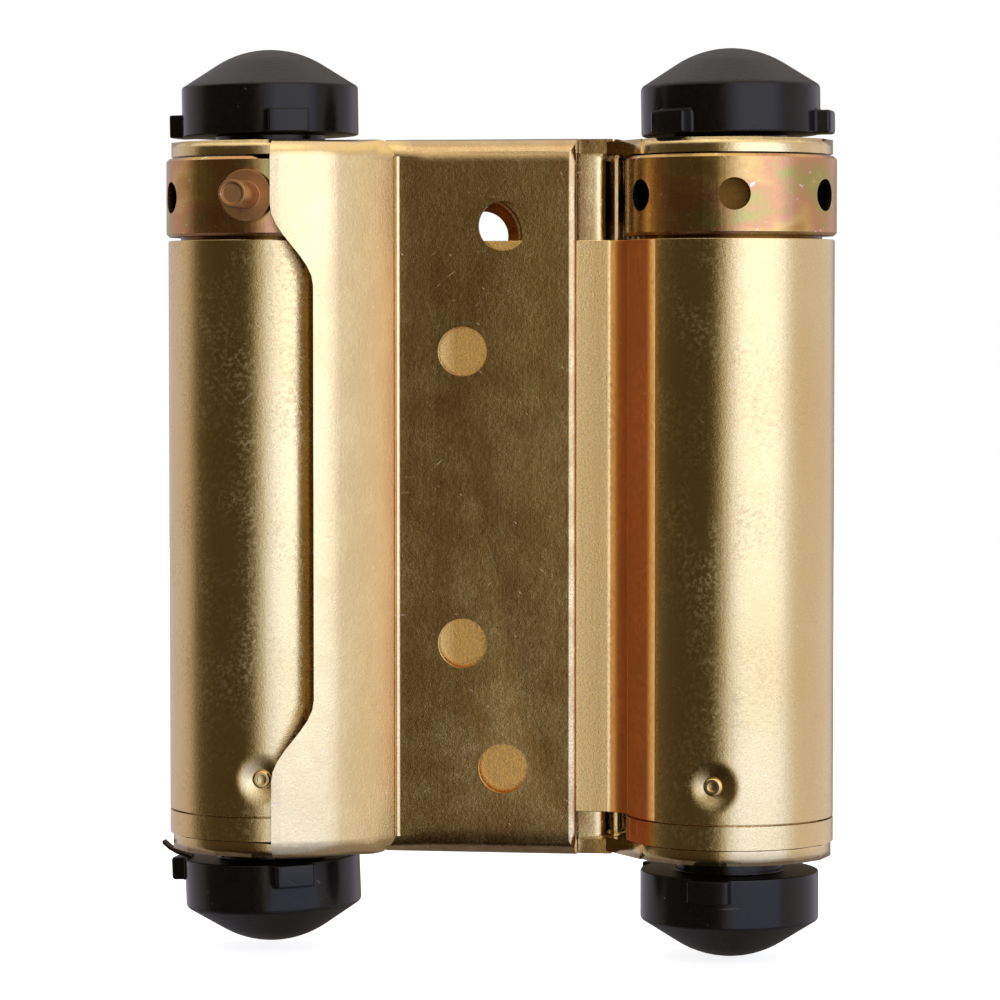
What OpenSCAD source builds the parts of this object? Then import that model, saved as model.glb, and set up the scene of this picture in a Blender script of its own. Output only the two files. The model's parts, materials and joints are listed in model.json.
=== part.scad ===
// Double action spring hinge for a swing door, drawn closed and unfixed.
// One rolled sheet joins two spring barrels; a folded flange swings on each.
// X runs along the closed leaves, +Y points into the jamb, +Z is up.
// The origin is on the rear flange's fixing face, at mid height, on the centre line.

/* [Hinge] */
// Height of both flange plates
hinge_h = 75; // [68:0.5:95]
// Distance between the two barrel axes
pitch = 48.8; // [46:0.2:60]
// Gap between the web and each closed flange plate
leaf_gap = 0.3; // [0.2:0.05:0.6]

/* [Web and barrels] */
// Thickness of the rolled web sheet
web_t = 1.2; // [0.9:0.05:1.4]
// Outer radius of both barrels
barrel_r = 10.8; // [10.2:0.1:11.4]
// Distance from the plates' top edge down to the barrels' top
barrel_drop = 10.6; // [9.5:0.1:14]
// Distance from the plates' bottom edge up to the barrels' foot
barrel_rise = 4.5; // [3.6:0.1:7]
// Outer bend radius where the web runs into a barrel
root_fillet = 2; // [1:0.1:2.4]
// Gap at the seam where each roll closes
seam_gap = 0.3; // [0.15:0.05:0.6]

/* [Flanges] */
// Thickness of the flange sheet
flange_t = 1.5; // [1.2:0.05:1.8]
// Radial gap between a barrel and the flange wrapped round it
wrap_gap = 1.7; // [1.3:0.05:2.2]
// Outer bend radius where the wrap turns over into the ears
ear_bend_r = 2; // [1.9:0.1:2.6]
// Outer bend radius of the lips along the plate
lip_bend_r = 2; // [0.6:0.1:2.1]
// Radius in the crease between plate and wrap
crease_r = 0.5; // [0.3:0.1:1]
// Gap from each lip's edge to the middle plane
lip_gap = 0.25; // [0.15:0.05:0.5]
// Distance from the centre line to a plate's free edge
plate_reach = 8.35; // [7:0.05:9.5]
// Radius on the outer corner of the free edge
free_edge_r = 0.9; // [0.3:0.1:1.1]
// How far the ears lie below the plates' lips
ear_drop = 0.3; // [0:0.05:0.8]
// How far the ears' flats lie inside the barrels' outline
ear_inset = 0.2; // [0:0.05:1]
// Number of flats on each ear's blanked outline
ear_flats = 16; // [13:1:24]
// Width of wrap left as a tab on the front flange, past the barrel's front
front_tab_x = 2.75; // [2:0.05:4]
// The same on the rear flange, past the barrel's back
rear_tab_x = 4.3; // [2:0.05:5]
// How much further the wrap is cut back between its tabs
cut_back = 4.2; // [2:0.1:4.6]
// Length of the top tabs, from the plate's top edge
top_tab_h = 7; // [6.2:0.1:12]
// Length of the bottom tabs, from the plate's bottom edge
bottom_tab_h = 8.5; // [5:0.1:14]
// Height over which the wrap's edge sweeps back to the cut
tab_sweep = 8.4; // [5:0.1:12]

/* [Screw holes] */
// Radius of the screw holes
screw_r = 2.6; // [2:0.05:2.9]
// Radius of the countersinks, on the faces towards the web
sink_r = 4.3; // [3.6:0.1:4.5]
// Depth of the countersinks
sink_depth = 1.1; // [0.6:0.05:1.1]
// Distance of the end holes from the centre line
end_hole_x = 0.8; // [0:0.1:2.2]
// Height of the end holes above and below mid height
end_hole_z = 28.4; // [24:0.1:31]
// Distance of the middle holes from the centre line, towards the crease
mid_hole_x = 3.5; // [2:0.1:5]
// Height of the middle holes above and below mid height
mid_hole_z = 15.3; // [8:0.1:18]
// Sideways offset of the rear flange's hole pattern
rear_holes_x = 1.1; // [-1:0.1:1.5]
// Vertical offset of the rear flange's hole pattern
rear_holes_z = -1; // [-1.5:0.1:1.5]

/* [Collars] */
// How far the tension collars stand out past the barrels
collar_proud = 0.2; // [-0.4:0.05:0.5]
// Gap between a collar and the barrel under it
collar_gap = 0.4; // [0.3:0.1:1]
// Gap between a collar and the ear above it
collar_clear = 0.2; // [0.1:0.05:0.4]
// Number of tension holes round a collar
tension_holes = 6; // [5:1:8]
// Radius of the tension holes
tension_hole_r = 1.65; // [1.5:0.05:1.9]
// Depth of the tension holes
tension_hole_depth = 5.5; // [4:0.1:6]
// Length of the spigot that guides a collar in its barrel
spigot_h = 3; // [2:0.1:5]
// Radial running clearance of the spigot
spigot_gap = 0.1; // [0.05:0.01:0.2]
// Break on the collar's outer edges
collar_break = 0.3; // [0.1:0.05:0.6]

/* [Tension pins] */
// Radius of the tension pins
pin_r = 1.42; // [1.2:0.02:1.45]
// Radius of a pin's shoulder disc
disc_r = 2.7; // [2.2:0.05:2.9]
// Thickness of the shoulder disc
disc_t = 1.7; // [1.5:0.1:2.2]
// Length of a pin outside its disc
pin_out = 6.6; // [4:0.1:8]
// Length of a pin inside its collar
pin_in = 4.8; // [3:0.1:5.2]
// Gap between a collar and the disc on it
disc_gap = 0.12; // [0.05:0.01:0.3]
// Gap between a disc and the tab it rests on
rest_gap = 0.05; // [0.02:0.01:0.2]
// Radius of the dished tip
dish_r = 1.05; // [0.6:0.05:1.15]
// Depth of the dished tip
dish_depth = 0.35; // [0.1:0.05:0.6]

/* [Plugs and rivets] */
// Length of a plug inside its barrel
plug_h = 8; // [8:0.1:14]
// Radial gap between a plug and its barrel
plug_gap = 0.05; // [0.02:0.01:0.15]
// Gap between a plug's rim and the ear under it
plug_clear = 0.12; // [0.05:0.01:0.3]
// Gap between the barrel's foot and the plug's rim
rim_gap = 0.15; // [0.05:0.05:0.3]
// Radius of the round dimples pressed into the barrels
dimple_r = 2.75; // [2.2:0.05:3]
// Depth of the dimples
dimple_depth = 0.7; // [0.4:0.05:0.8]
// Height of the dimples above the barrel's foot
rivet_rise = 3.9; // [3.2:0.1:4.8]
// Radius of the rivets
rivet_r = 0.7; // [0.5:0.05:0.9]
// Radius of the rivet heads
rivet_head_r = 1.05; // [1:0.05:1.6]
// Thickness of the rivet heads
rivet_head_t = 0.5; // [0.3:0.05:0.6]
// Length of a rivet in its plug
rivet_in = 3; // [2:0.1:4]
// Radial room round a rivet's head in its seat
rivet_head_gap = 0.08; // [0.03:0.01:0.15]
// Radial room round a rivet in its holes
rivet_gap = 0.03; // [0.02:0.01:0.06]
// Angle of the left barrel's rivets, from the front towards the right
left_rivet_angle = 5.7; // [-10:0.1:12]
// Angle of the right barrel's rivets, from the front towards the right
right_rivet_angle = -4.2; // [-12:0.1:10]

/* [Springs and spindles] */
// Radius of the spring wire
wire_r = 1.25; // [0.9:0.05:1.4]
// Gap between a spring's coils and its barrel
coil_gap = 0.5; // [0.3:0.05:0.8]
// Number of coils in each spring
coils = 13; // [10:1:15]
// Length of the straight tangs at a spring's ends
tang_h = 3.4; // [2.6:0.1:3.8]
// Gap round the tangs in their holes
tang_gap = 0.1; // [0.05:0.05:0.25]
// Gap between a spring's end coils and the faces they stand on
coil_end_gap = 0.15; // [0.05:0.05:0.5]
// Radius of the spindles
spindle_r = 3; // [2.4:0.1:3.4]
// Radial running clearance round the spindles
spindle_fit = 0.05; // [0.03:0.01:0.09]
// How far a spindle reaches out past the ears' outer faces
spindle_out = 3.6; // [2.9:0.1:4.2]

/* [Caps] */
// Radius of the caps
cap_r = 9.3; // [8.6:0.1:9.5]
// Height of a cap's skirt
skirt_h = 5.1; // [4.4:0.1:6]
// Height of a cap's dome
dome_h = 4; // [3.2:0.1:5]
// Radius of a cap's neck
neck_r = 5.75; // [5:0.05:6.2]
// Length of a cap's neck
neck_h = 1.9; // [1.75:0.05:1.95]
// Radial gap between a neck and its ear
neck_gap = 0.08; // [0.04:0.01:0.15]
// Radial gap between a spindle's end and its socket in the cap
socket_gap = 0.03; // [0.02:0.01:0.06]
// Depth of the socket under a cap
socket_h = 4.2; // [3.9:0.1:4.8]
// Number of lugs on a cap
lugs = 2; // [1:1:3]
// Angle from one lug to the next
lug_step = 120; // [60:5:120]
// Width of a lug
lug_w = 4.3; // [3:0.1:5]
// Height of a lug
lug_h = 2.4; // [1.6:0.1:3]
// How far a lug stands out from the skirt
lug_out = 1.5; // [0.8:0.1:1.7]
// Gap between the top left cap and its ear
left_top_gap = 0.8; // [0.5:0.05:1.5]
// Gap between the top right cap and its ear
right_top_gap = 0.5; // [0.5:0.05:1.5]
// Gap between the bottom left cap and its ear
left_bottom_gap = 1; // [0.5:0.05:1.5]
// Gap between the bottom right cap and its ear, hanging lowest
right_bottom_gap = 1.6; // [0.5:0.05:1.6]
// Turn of the top left cap's first lug, from the front towards the right
left_top_turn = -98; // [-180:1:180]
// Turn of the top right cap's first lug
right_top_turn = -33; // [-180:1:180]
// Turn of the bottom left cap's first lug
left_bottom_turn = -95; // [-180:1:180]
// Turn of the bottom right cap's first lug
right_bottom_turn = -127; // [-180:1:180]

/* [Hidden] */
$fn = 48;

// How far cutting shapes run past the faces they cut
over = 1;

// Faces of a closed plate, measured from the middle plane of the web
plate_back = web_t / 2 + leaf_gap;
plate_front = plate_back + flange_t;
plate_top = hinge_h / 2;
ear_top = plate_top - ear_drop;
ear_in = ear_top - flange_t;

// Barrels; the root fillet bites a hair into both faces that it joins
root_bite = 0.01;
barrel_in = barrel_r - web_t;
barrel_top = plate_top - barrel_drop;
barrel_foot = -plate_top + barrel_rise;

// Wraps; each one's own ear band starts at ear_band, under the blanked ear
wrap_in = barrel_r + wrap_gap;
wrap_out = wrap_in + flange_t;
wrap_turn = 96;
ear_band = neck_r + 2;
edge_steps = 8;
root_x = sqrt(wrap_in * wrap_in - plate_back * plate_back);
ear_hole_r = neck_r + neck_gap;
ear_r = barrel_r - ear_inset;
lip_run = 3;

// Collars
collar_r = barrel_r + collar_proud;
collar_top = ear_in - collar_clear;
collar_foot = barrel_top + collar_gap;
hole_z = (collar_top + collar_foot) / 2;
spigot_r = barrel_in - spigot_gap;
bore_r = spindle_r + spindle_fit;

// Tension pins: the disc's middle radius, and the angles at which the discs meet the tabs
disc_in = collar_r + disc_gap;
disc_mid = disc_in + disc_t / 2;
front_pin_angle = asin((front_tab_x - disc_r - rest_gap) / disc_mid);
rear_pin_angle = asin((rear_tab_x - disc_r - rest_gap) / disc_mid);

// Plugs
rim_foot = -ear_in + plug_clear;
rim_top = barrel_foot - rim_gap;
plug_top = barrel_foot + plug_h;
rivet_z = barrel_foot + rivet_rise;
rivet_end = barrel_in - rivet_in;
dimple_ball = (dimple_r * dimple_r + dimple_depth * dimple_depth) / (2 * dimple_depth);
seat_depth = 0.05;
rivet_seat = barrel_r - dimple_depth - seat_depth;
rivet_lift = 0.02;
rivet_crown = 0.8;
rivet_hollow = 0.42;

// Springs
coil_r = barrel_in - coil_gap - wire_r;
coil_foot = plug_top + wire_r + coil_end_gap;
coil_head = collar_foot - spigot_h - wire_r - coil_end_gap;
tang_hole_r = wire_r + tang_gap;
tang_depth = tang_h - wire_r - coil_end_gap + tang_gap;
tang_bend = 0.6;
coil_rings = 18;
wire_sides = 8;

// Cap profile: straight flanks up to a round tip
tip_share = 0.6;
flank_share = 0.59;
tip_r = cap_r * tip_share;
flank_h = dome_h * flank_share;
dome_steps = 8;

// A shape turned half way round the hinge's centre line
module half_turn() {
    rotate([0, 0, 180]) children();
}

// The whole hinge is drawn about the web's middle plane and then moved back
module in_place() {
    translate([0, -plate_front, 0]) children();
}

// Left or right barrel axis: side is -1 or 1
module at_axis(side) {
    translate([side * pitch / 2, 0, 0]) children();
}

// A radial direction: angle from the front towards the right
module facing(angle) {
    rotate([0, 0, angle]) rotate([90, 0, 0]) children();
}

// Half outline of a hollow drum, rounded at its outer corners
module drum_section(r, h, corner) {
    translate([0, -h]) square([r - corner, 2 * h]);
    translate([0, -h + corner]) square([r, 2 * (h - corner)]);
    for (s = [-1, 1])
        translate([r - corner, s * (h - corner)]) circle(corner);
}

// One barrel about its axis, rolled from the half of the web that leaves towards -X
module rolled_barrel() {
    h = barrel_top - barrel_foot;
    deep = h + 2 * over;
    reach = barrel_r + root_fillet - root_bite;
    rise = web_t / 2 + root_fillet - root_bite;
    root = -sqrt(reach * reach - rise * rise);
    mid = barrel_r - web_t / 2;
    translate([0, 0, barrel_foot]) difference() {
        union() {
            cylinder(r = barrel_r, h = h, $fn = 96);
            translate([-pitch / 2, -web_t / 2, 0]) cube([pitch / 2 - mid, web_t, h]);
            translate([root, -rise, 0]) cube([-root - mid, rise, h]);
        }
        translate([root, -rise, -over]) cylinder(r = root_fillet, h = deep);
        translate([0, 0, -over]) cylinder(r = barrel_in, h = deep, $fn = 96);
        translate([-barrel_r - over, web_t / 2, -over]) cube([web_t + 2 * over, seam_gap, deep]);
    }
}

// Dimple, seat and hole for one rivet, along -Y from a barrel's axis
module rivet_cut(angle) {
    translate([0, 0, rivet_z]) facing(angle) {
        translate([0, 0, barrel_r - dimple_depth + dimple_ball]) sphere(dimple_ball, $fn = 64);
        translate([0, 0, rivet_seat]) cylinder(r = rivet_head_r + rivet_head_gap, h = 2 * over);
        translate([0, 0, barrel_in - over]) cylinder(r = rivet_r + rivet_gap, h = web_t + 2 * over);
    }
}

// Web with both barrels
module centre_web() {
    color("#b8924a") in_place() difference() {
        union() {
            at_axis(1) rolled_barrel();
            half_turn() at_axis(1) rolled_barrel();
        }
        for (turn = [0, 180]) {
            at_axis(-1) rivet_cut(left_rivet_angle + turn);
            at_axis(1) rivet_cut(right_rivet_angle + turn);
        }
    }
}

// Flanges, drawn as the front one about the middle plane
// Edge of the wrap, seen from the front: u runs from 0 at a tab to 1 at the cut
function sweep(u) = (1 - cos(180 * u)) / 2;
function tab_edge(tab_x) = concat(
    [[tab_x, plate_top + over]],
    [for (u = [0:1 / edge_steps:1])
        [tab_x + cut_back * sweep(u), plate_top - top_tab_h - tab_sweep * u]],
    [for (u = [1:-1 / edge_steps:0])
        [tab_x + cut_back * sweep(u), -plate_top + bottom_tab_h + tab_sweep * u]],
    [[tab_x, -plate_top - over]]
);

// Quarter wrap round the barrel with both ends bent over
module wrap(tab_x) {
    difference() {
        rotate([0, 0, -wrap_turn])
            rotate_extrude(angle = wrap_turn - asin(plate_back / wrap_in), $fn = 96) difference() {
                drum_section(wrap_out, ear_top, ear_bend_r);
                drum_section(wrap_in, ear_in, ear_bend_r - flange_t);
                translate([0, -plate_top]) square([ear_band, hinge_h]);
            }
        rotate([90, 0, 0]) linear_extrude(wrap_out + over) polygon(concat(
            tab_edge(tab_x),
            [[-wrap_out, -plate_top - over], [-wrap_out, plate_top + over]]
        ));
    }
}

// Blanked outline of an ear about its pin, run into the lip on the plate
module ear_outline() {
    lip = [pitch / 2 - plate_reach - lip_run, -lip_gap];
    reach = norm(lip);
    touch = atan2(lip[1], lip[0]) + acos(ear_r / reach);
    polygon([for (i = [0:ear_flats - 1])
        ear_r * [cos(360 * i / ear_flats), sin(360 * i / ear_flats)]]);
    polygon([
        [0, 0], [root_x + over, lip_bend_r - plate_front], lip,
        ear_r * [cos(touch), sin(touch)]
    ]);
}

// Flat plate with lips along top and bottom, from the wrap to its free edge
module plate() {
    start = -pitch / 2 + root_x;
    difference() {
        translate([start, 0, 0]) rotate([90, 0, 90]) linear_extrude(plate_reach - start)
            difference() {
                translate([-lip_gap, 0]) mirror([1, 0])
                    drum_section(plate_front - lip_gap, plate_top, lip_bend_r);
                translate([-lip_gap, -plate_top - over])
                    square([plate_front, hinge_h + 2 * over]);
                translate([-plate_back, -ear_in - ear_drop])
                    square([plate_back, 2 * (ear_in + ear_drop)]);
            }
        translate([plate_reach - free_edge_r, -plate_front + free_edge_r, -plate_top - over])
            difference() {
                translate([0, -free_edge_r - over, 0])
                    cube([free_edge_r + over, free_edge_r + over, hinge_h + 2 * over]);
                translate([0, 0, -over]) cylinder(r = free_edge_r, h = hinge_h + 4 * over);
            }
    }
}

// Screw hole through the plate, countersunk towards the web
module screw_hole(x, z) {
    translate([x, 0, z]) rotate([90, 0, 0]) {
        cylinder(r = screw_r, h = plate_front + over);
        translate([0, 0, plate_back])
            cylinder(r1 = sink_r, r2 = screw_r, h = sink_depth);
    }
}

// Whole flange with its wrap, ears, plate and holes
module flange(tab_x, dx, dz) {
    difference() {
        union() {
            at_axis(-1) {
                wrap(tab_x);
                for (z = [ear_in, -ear_top])
                    translate([0, 0, z]) linear_extrude(flange_t) ear_outline();
            }
            plate();
            translate([-pitch / 2 + root_x, 0, 0]) crease();
        }
        translate([-pitch / 2 + root_x, 0, 0]) crease_round();
        at_axis(-1) translate([0, 0, -plate_top]) cylinder(r = ear_hole_r, h = hinge_h, $fn = 64);
        for (s = [-1, 1]) {
            screw_hole(end_hole_x + dx, s * end_hole_z + dz);
            screw_hole(-mid_hole_x + dx, s * mid_hole_z + dz);
        }
    }
}

// Fillet in the crease, on the outer side of the bend; crease_bite sinks it into both sheets
crease_bite = 0.4;
plate_bite = 0.1;
module crease() {
    out = sqrt(wrap_out * wrap_out - plate_front * plate_front) - root_x;
    translate([out - crease_bite, -plate_front - crease_r, -ear_in]) difference() {
        cube([crease_r + crease_bite, crease_r + plate_bite, 2 * ear_in]);
        translate([crease_r + crease_bite, 0, -over])
            cylinder(r = crease_r, h = 2 * (ear_in + over));
    }
}

// Round on the inner side of the same bend
module crease_round() {
    r = crease_r + flange_t;
    difference() {
        translate([-over, -plate_back - r, -ear_in]) cube([r + over, r + plate_bite, 2 * ear_in]);
        translate([r, -plate_back - r, -ear_in - over]) cylinder(r = r, h = 2 * (ear_in + over));
        translate([-2 * over, -plate_back - 2 * r, -ear_in - over])
            cube([2 * over + r, r, 2 * (ear_in + over)]);
    }
}

module front_flange() {
    color("#b08a45") in_place() flange(front_tab_x, 0, 0);
}

module rear_flange() {
    color("#a8823f") in_place() half_turn() flange(rear_tab_x, rear_holes_x, rear_holes_z);
}

// Tension collar with a spigot into its barrel; side picks the barrel
module collar(side, pin_angle) {
    in_place() at_axis(side) rotate([0, 0, side > 0 ? 180 : 0]) difference() {
        rotate_extrude($fn = 96) polygon([
            [bore_r, collar_foot - spigot_h], [spigot_r, collar_foot - spigot_h],
            [spigot_r, collar_foot], [collar_r - collar_break, collar_foot],
            [collar_r, collar_foot + collar_break], [collar_r, collar_top - collar_break],
            [collar_r - collar_break, collar_top], [bore_r, collar_top]
        ]);
        for (i = [0:tension_holes - 1])
            translate([0, 0, hole_z]) facing(pin_angle + 360 * i / tension_holes)
                translate([0, 0, collar_r - tension_hole_depth])
                    cylinder(r = tension_hole_r, h = tension_hole_depth + over, $fn = 32);
        translate([0, -coil_r, collar_foot - spigot_h - over])
            cylinder(r = tang_hole_r, h = tang_depth + over, $fn = 32);
    }
}

module left_collar() {
    color("#c39a5c") collar(-1, front_pin_angle);
}

module right_collar() {
    color("#c9a063") collar(1, rear_pin_angle);
}

// Tension pin with its shoulder disc, standing out of a collar
module tension_pin(side, pin_angle) {
    in_place() at_axis(side) rotate([0, 0, side > 0 ? 180 : 0])
        translate([0, 0, hole_z]) facing(pin_angle) difference() {
            union() {
                translate([0, 0, collar_r - pin_in])
                    cylinder(r = pin_r, h = pin_in + disc_gap + disc_t + pin_out);
                translate([0, 0, disc_in]) cylinder(r = disc_r, h = disc_t);
            }
            translate([0, 0, disc_in + disc_t + pin_out - dish_depth])
                cylinder(r = dish_r, h = dish_depth + over);
        }
}

module left_tension_pin() {
    color("#c07f3a") tension_pin(-1, front_pin_angle);
}

module right_tension_pin() {
    color("#c07f3a") tension_pin(1, rear_pin_angle);
}

// Torsion spring: helix with an upright tang at each end
coil_rise = coil_head - coil_foot;
steps = coils * coil_rings;
function turn_pt(i) = [
    coil_r * sin(360 * coils * i / steps), -coil_r * cos(360 * coils * i / steps),
    coil_foot + coil_rise * i / steps
];
spring_path = concat(
    [[0, -coil_r, coil_foot - tang_h], [0, -coil_r, coil_foot - tang_bend]],
    [for (i = [0:steps]) turn_pt(i)],
    [[0, -coil_r, coil_head + tang_bend], [0, -coil_r, coil_head + tang_h]]
);
function path_dir(p, i) = let (
        a = p[max(0, i - 1)], b = p[min(len(p) - 1, i + 1)]
    ) (b - a) / norm(b - a);
function ring(p, i) = let (
        d = path_dir(p, i), out = [p[i][0], p[i][1], 0] / norm([p[i][0], p[i][1]]),
        up = cross(d, out)
    ) [for (k = [0:wire_sides - 1]) let (a = 360 * k / wire_sides)
        p[i] + wire_r * (cos(a) * out + sin(a) * up)];

module spring(side) {
    n = len(spring_path);
    in_place() at_axis(side) rotate([0, 0, side > 0 ? 180 : 0]) polyhedron(
        points = [for (i = [0:n - 1]) each ring(spring_path, i)],
        faces = concat(
            [[for (k = [0:wire_sides - 1]) k]],
            [for (i = [0:n - 2]) for (k = [0:wire_sides - 1]) let (l = (k + 1) % wire_sides)
                each [[i * wire_sides + k, (i + 1) * wire_sides + k, (i + 1) * wire_sides + l],
                    [i * wire_sides + k, (i + 1) * wire_sides + l, i * wire_sides + l]]],
            [[for (k = [wire_sides - 1:-1:0]) (n - 1) * wire_sides + k]]
        )
    );
}

module left_spring() {
    color("#6f6a62") spring(-1);
}

module right_spring() {
    color("#6f6a62") spring(1);
}

// Plug riveted into a barrel's foot, with a rim as wide as the barrel
module plug(side, rivet_angle) {
    in_place() at_axis(side) difference() {
        rotate_extrude($fn = 96) polygon([
            [bore_r, rim_foot], [barrel_r, rim_foot], [barrel_r, rim_top],
            [barrel_in - plug_gap, rim_top], [barrel_in - plug_gap, plug_top], [bore_r, plug_top]
        ]);
        for (turn = [0, 180])
            translate([0, 0, rivet_z]) facing(rivet_angle + turn)
                translate([0, 0, rivet_end - tang_gap])
                    cylinder(r = rivet_r + rivet_gap, h = rivet_in + over, $fn = 32);
        rotate([0, 0, side > 0 ? 180 : 0]) translate([0, -coil_r, plug_top - tang_depth])
            cylinder(r = tang_hole_r, h = tang_depth + over, $fn = 32);
    }
}

module left_plug() {
    color("#b8924a") plug(-1, left_rivet_angle);
}

module right_plug() {
    color("#b8924a") plug(1, right_rivet_angle);
}

// Hollow-headed rivet through a barrel's dimple into its plug
module rivet(side, angle) {
    in_place() at_axis(side) translate([0, 0, rivet_z]) facing(angle) difference() {
        union() {
            translate([0, 0, rivet_end])
                cylinder(r = rivet_r, h = rivet_seat + rivet_head_t / 2 - rivet_end, $fn = 32);
            translate([0, 0, rivet_seat + rivet_lift]) cylinder(
                r1 = rivet_head_r, r2 = rivet_head_r * rivet_crown, h = rivet_head_t, $fn = 32
            );
        }
        translate([0, 0, rivet_seat]) cylinder(r = rivet_head_r * rivet_hollow, h = over, $fn = 32);
    }
}

module left_front_rivet() {
    color("#cba45a") rivet(-1, left_rivet_angle);
}

module left_rear_rivet() {
    color("#cba45a") rivet(-1, left_rivet_angle + 180);
}

module right_front_rivet() {
    color("#cba45a") rivet(1, right_rivet_angle);
}

module right_rear_rivet() {
    color("#cba45a") rivet(1, right_rivet_angle + 180);
}

// Spindle through ears, collar, spring and plug
module spindle(side) {
    end = ear_top + spindle_out;
    in_place() at_axis(side) translate([0, 0, -end]) cylinder(r = spindle_r, h = 2 * end);
}

module left_spindle() {
    color("#8d8b86") spindle(-1);
}

module right_spindle() {
    color("#8d8b86") spindle(1);
}

// Moulded cap, standing on its neck: dome up, lug_angle from the front towards the right
module cap(lug_angle) {
    flank = atan2(flank_h, cap_r - tip_r);
    arc = tip_r / sin(flank);
    difference() {
        union() {
            rotate_extrude($fn = 96) polygon(concat(
                [[0, -neck_h], [neck_r, -neck_h], [neck_r, 0], [cap_r, 0], [cap_r, skirt_h]],
                [for (i = [0:dome_steps]) let (a = flank * (1 - i / dome_steps))
                    [arc * sin(a), skirt_h + flank_h + arc * (cos(a) - cos(flank))]]
            ));
            intersection() {
                cylinder(r = cap_r + lug_out, h = lug_h, $fn = 96);
                for (i = [0:lugs - 1])
                    rotate([0, 0, lug_angle - 90 + lug_step * i])
                        translate([neck_r, -lug_w / 2, 0]) cube([cap_r, lug_w, lug_h]);
            }
        }
        translate([0, 0, -neck_h - over])
            cylinder(r = spindle_r + socket_gap, h = socket_h + neck_h + over);
    }
}

// Caps over the ears: side picks the barrel
module top_cap(side, gap, lug_angle) {
    in_place() at_axis(side) translate([0, 0, ear_top + gap]) cap(lug_angle);
}

module bottom_cap(side, gap, lug_angle) {
    in_place() at_axis(side) translate([0, 0, -ear_top - gap]) mirror([0, 0, 1]) cap(lug_angle);
}

module left_top_cap() {
    color("#262326") top_cap(-1, left_top_gap, left_top_turn);
}

module right_top_cap() {
    color("#262326") top_cap(1, right_top_gap, right_top_turn);
}

module left_bottom_cap() {
    color("#262326") bottom_cap(-1, left_bottom_gap, left_bottom_turn);
}

module right_bottom_cap() {
    color("#262326") bottom_cap(1, right_bottom_gap, right_bottom_turn);
}

centre_web();
front_flange();
rear_flange();
left_collar();
right_collar();
left_tension_pin();
right_tension_pin();
left_spring();
right_spring();
left_plug();
right_plug();
left_front_rivet();
left_rear_rivet();
right_front_rivet();
right_rear_rivet();
left_spindle();
right_spindle();
left_top_cap();
right_top_cap();
left_bottom_cap();
right_bottom_cap();
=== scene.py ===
"""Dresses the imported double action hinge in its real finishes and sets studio, light and camera."""
import json
import math
import bmesh
import bpy
import numpy as np
from mathutils import Matrix, Vector


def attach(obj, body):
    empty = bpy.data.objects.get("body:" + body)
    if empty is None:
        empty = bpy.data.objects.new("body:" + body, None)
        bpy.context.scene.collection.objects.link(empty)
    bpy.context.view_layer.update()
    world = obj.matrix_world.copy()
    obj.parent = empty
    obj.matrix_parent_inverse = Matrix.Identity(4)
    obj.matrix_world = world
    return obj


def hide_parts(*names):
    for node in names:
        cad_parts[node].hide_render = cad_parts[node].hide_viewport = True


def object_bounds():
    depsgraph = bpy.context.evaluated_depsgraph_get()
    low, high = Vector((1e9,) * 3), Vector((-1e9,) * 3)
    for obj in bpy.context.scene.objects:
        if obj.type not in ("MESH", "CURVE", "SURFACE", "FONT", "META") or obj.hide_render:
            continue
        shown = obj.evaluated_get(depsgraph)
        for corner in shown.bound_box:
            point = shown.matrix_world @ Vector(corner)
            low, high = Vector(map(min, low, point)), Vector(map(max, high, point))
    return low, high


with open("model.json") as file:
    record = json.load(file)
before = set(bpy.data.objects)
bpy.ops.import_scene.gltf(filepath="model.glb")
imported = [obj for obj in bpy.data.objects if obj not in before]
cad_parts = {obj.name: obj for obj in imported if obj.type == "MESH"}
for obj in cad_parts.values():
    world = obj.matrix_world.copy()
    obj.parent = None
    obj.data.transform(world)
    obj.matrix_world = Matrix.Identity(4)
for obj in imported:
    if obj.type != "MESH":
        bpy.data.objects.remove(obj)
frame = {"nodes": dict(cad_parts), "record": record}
cad_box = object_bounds()
body_of_node = {n: b for b, ns in frame["record"]["behaviour"]["bodies"].items() for n in ns}
MM = 0.001

# Sizes of the hinge, in millimetres: the barrels' axes, walls and rivets, and the middle sheet
AXIS_X, AXIS_DEPTH = 24.4, 2.4
BARREL_R, BARREL_IN_R = 10.8, 9.6
BARREL_FOOT, BARREL_TOP = -33.0, 26.9
HALF_WEB, ROOT_FILLET, SEAM_EDGE = 0.6, 2.9, 0.9
RIVET_Z, DIMPLE_R, DIMPLE_DEPTH = -29.1, 3.0, 0.72
RIVET_TURNS = ((-AXIS_X, 5.7), (AXIS_X, -4.2))
AXIS_Y = -AXIS_DEPTH * MM
RIGHT_X = AXIS_X * MM

# Lean of the web's shading normals, in degrees, at 4.5, 6.0 and 10.9 mm from the middle
LEAN_AT, WEB_LEAN = (4.5, 6.0, 10.9), (3.2, 6.0, 3.4)

# How far from 0 to 1 a place along X is, where 1 stands for 25 mm
ACROSS = 40.0


# Meshes

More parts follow.
